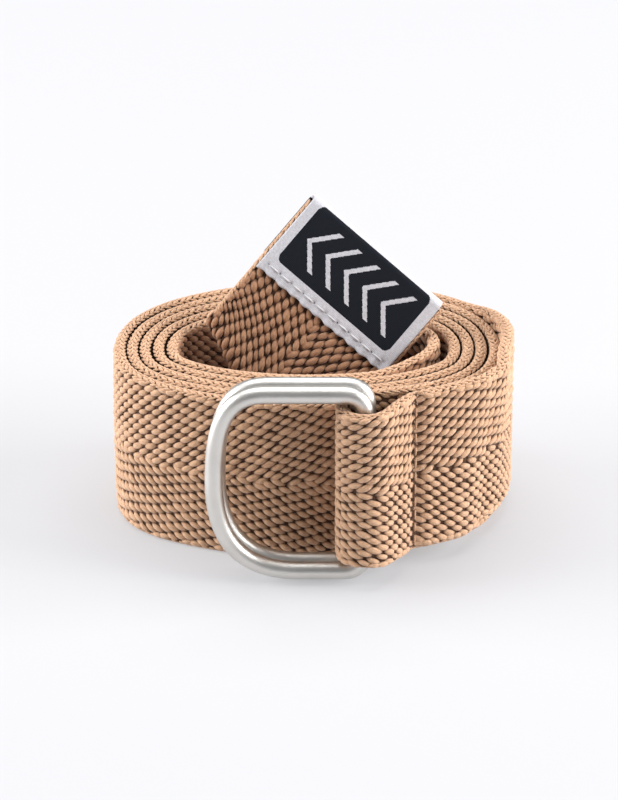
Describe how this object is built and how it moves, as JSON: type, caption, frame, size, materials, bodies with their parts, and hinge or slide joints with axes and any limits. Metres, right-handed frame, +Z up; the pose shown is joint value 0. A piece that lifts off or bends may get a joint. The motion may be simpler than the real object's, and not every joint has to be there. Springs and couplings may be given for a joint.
{
  "type": "webbing belt",
  "caption": "Coarse woven webbing belt rolled on edge into an oval coil, with D-rings in a sewn end loop and a woven label on its folded tail.",
  "frame": {"origin": "under the middle of the rolled belt's box, on the plane that its lower edge rests on", "axes": "+Z up along the strap's width, +X along the coil's length towards its right end, +Y from the rings' side to the back of the coil"},
  "size_m": [0.0876, 0.074, 0.0661],
  "materials": {
    "webbing": "matt coarse woven",
    "ring_metal": "satin nickel plate",
    "label": "satin woven, with a silver border"
  },
  "bodies": {
    "belt": {"strap": "webbing", "tip_label": "label", "ring_rear": "ring_metal"},
    "front_ring": {"ring_front": "ring_metal"}
  },
  "joints": [
    {"name": "front_ring_swing", "type": "hinge", "parent": "belt", "child": "front_ring", "pos_m": [0.0109, -0.0314, 0.02362], "axis": [0, 0.0419, 0.9991], "range_deg": [0, 150]}
  ]
}
